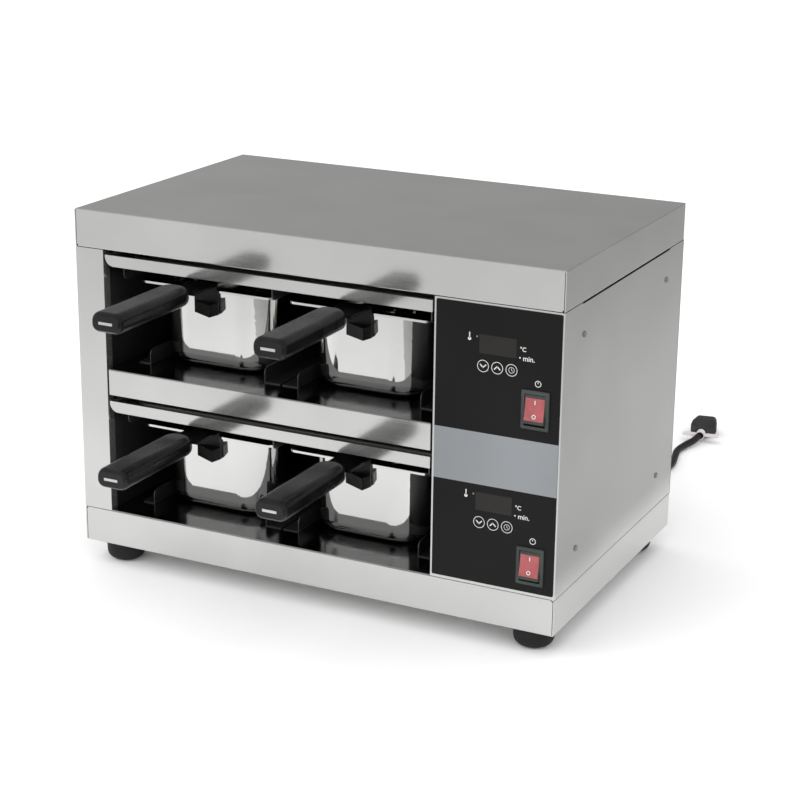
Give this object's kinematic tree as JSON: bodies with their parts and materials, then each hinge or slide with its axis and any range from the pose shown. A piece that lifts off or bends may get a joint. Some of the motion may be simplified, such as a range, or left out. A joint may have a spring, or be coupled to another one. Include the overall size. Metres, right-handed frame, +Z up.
{
  "type": "two-tier food warming cabinet",
  "caption": "Countertop steel warming cabinet with two heated tiers, handled pull-out food pans and a control compartment at the right.",
  "frame": {"origin": "middle of the footprint of the cabinet and its grips, on the surface that it stands on", "axes": "+X to the right seen from the front, +Y from the front to the back, +Z up"},
  "size_m": [0.6032, 1.0024, 0.43],
  "materials": {
    "stainless_skin": "satin, lightly brushed",
    "stainless_inner": "smooth mill finish",
    "heater_steel": "satin",
    "hot_plate": "polished, slightly darkened by heat",
    "element_sheath": "oxidised sheath",
    "pan_steel": "bright, smooth",
    "bracket_black": "black, semi-gloss",
    "grip_black": "black, fine satin",
    "overlay_black": "black film, fine satin",
    "label_grey": "light grey film",
    "display_smoke": "smoked window",
    "key_black": "black with a white ring",
    "rocker_black": "black moulded",
    "lens_red": "translucent red",
    "board_green": "circuit board",
    "spacer_zinc": "zinc plated",
    "terminal_white": "moulded",
    "lead_sleeve": "glass fibre sleeved leads",
    "foot_rubber": "black rubber",
    "screw_steel": "plated",
    "gland_black": "black nylon",
    "cord_black": "black rubber sheath",
    "plug_black": "black moulded rubber",
    "pin_nickel": "nickel plated",
    "tag_film": "pale film"
  },
  "bodies": {
    "cabinet": {"back_panel": "stainless_inner", "base_tray": "stainless_skin", "board_standoffs": "spacer_zinc", "cable_gland": "gland_black", "compartment_wall": "stainless_inner", "control_boards": "board_green", "control_fascia": "stainless_skin", "control_overlay": "overlay_black", "cord_coil": "cord_black", "cord_strain_relief": "gland_black", "cord_tag": "tag_film", "display_windows": "display_smoke", "divider_tray": "heater_steel", "feet": "foot_rubber", "floor_elements": "element_sheath", "floor_guides": "stainless_inner", "label_band": "label_grey", "left_liner": "stainless_inner", "left_side_panel": "stainless_skin", "lower_heater_tray": "heater_steel", "lower_hot_plate": "hot_plate", "plug_body": "plug_black", "plug_pins": "pin_nickel", "right_side_panel": "stainless_skin", "rocker_frames": "rocker_black", "roof_elements": "element_sheath", "screws": "screw_steel", "supply_cord_in": "cord_black", "supply_cord_out": "cord_black", "temperature_probes": "spacer_zinc", "terminal_block": "terminal_white", "top_cover": "stainless_skin", "tray_rails": "stainless_inner", "upper_guides": "stainless_inner", "upper_heater_tray": "heater_steel", "upper_hot_plate": "hot_plate", "wiring_loom": "lead_sleeve"},
    "lower_left_pan_set": {"lower_left_pan": "pan_steel", "lower_left_handle_bracket": "bracket_black", "lower_left_grip": "grip_black"},
    "lower_right_pan_set": {"lower_right_pan": "pan_steel", "lower_right_handle_bracket": "bracket_black", "lower_right_grip": "grip_black"},
    "lower_rocker": {"lower_power_rocker": "rocker_black", "lower_rocker_lens": "lens_red"},
    "lower_down_button": {"lower_down_key": "key_black"},
    "lower_up_button": {"lower_up_key": "key_black"},
    "lower_timer_button": {"lower_timer_key": "key_black"},
    "upper_left_pan_set": {"upper_left_pan": "pan_steel", "upper_left_handle_bracket": "bracket_black", "upper_left_grip": "grip_black"},
    "upper_right_pan_set": {"upper_right_pan": "pan_steel", "upper_right_handle_bracket": "bracket_black", "upper_right_grip": "grip_black"},
    "upper_rocker": {"upper_power_rocker": "rocker_black", "upper_rocker_lens": "lens_red"},
    "upper_down_button": {"upper_down_key": "key_black"},
    "upper_up_button": {"upper_up_key": "key_black"},
    "upper_timer_button": {"upper_timer_key": "key_black"}
  },
  "joints": [
    {"name": "lower_left_pan_slide", "type": "slide", "parent": "cabinet", "child": "lower_left_pan_set", "axis": [0, -1, 0], "range_m": [0, 0.37]},
    {"name": "lower_right_pan_slide", "type": "slide", "parent": "cabinet", "child": "lower_right_pan_set", "axis": [0, -1, 0], "range_m": [0, 0.37]},
    {"name": "lower_rocker_hinge", "type": "hinge", "parent": "cabinet", "child": "lower_rocker", "pos_m": [0.2712, -0.10425, 0.1038], "axis": [1, 0, 0], "range_deg": [0, 20]},
    {"name": "lower_down_key_slide", "type": "slide", "parent": "cabinet", "child": "lower_down_button", "axis": [0, 1, 0], "range_m": [0, 0.0005], "stiffness_N_per_m": 1500},
    {"name": "lower_up_key_slide", "type": "slide", "parent": "cabinet", "child": "lower_up_button", "axis": [0, 1, 0], "range_m": [0, 0.0005], "stiffness_N_per_m": 1500},
    {"name": "lower_timer_key_slide", "type": "slide", "parent": "cabinet", "child": "lower_timer_button", "axis": [0, 1, 0], "range_m": [0, 0.0005], "stiffness_N_per_m": 1500},
    {"name": "upper_left_pan_slide", "type": "slide", "parent": "cabinet", "child": "upper_left_pan_set", "axis": [0, -1, 0], "range_m": [0, 0.37]},
    {"name": "upper_right_pan_slide", "type": "slide", "parent": "cabinet", "child": "upper_right_pan_set", "axis": [0, -1, 0], "range_m": [0, 0.37]},
    {"name": "upper_rocker_hinge", "type": "hinge", "parent": "cabinet", "child": "upper_rocker", "pos_m": [0.2712, -0.10425, 0.2782], "axis": [1, 0, 0], "range_deg": [0, 20]},
    {"name": "upper_down_key_slide", "type": "slide", "parent": "cabinet", "child": "upper_down_button", "axis": [0, 1, 0], "range_m": [0, 0.0005], "stiffness_N_per_m": 1500},
    {"name": "upper_up_key_slide", "type": "slide", "parent": "cabinet", "child": "upper_up_button", "axis": [0, 1, 0], "range_m": [0, 0.0005], "stiffness_N_per_m": 1500},
    {"name": "upper_timer_key_slide", "type": "slide", "parent": "cabinet", "child": "upper_timer_button", "axis": [0, 1, 0], "range_m": [0, 0.0005], "stiffness_N_per_m": 1500}
  ]
}
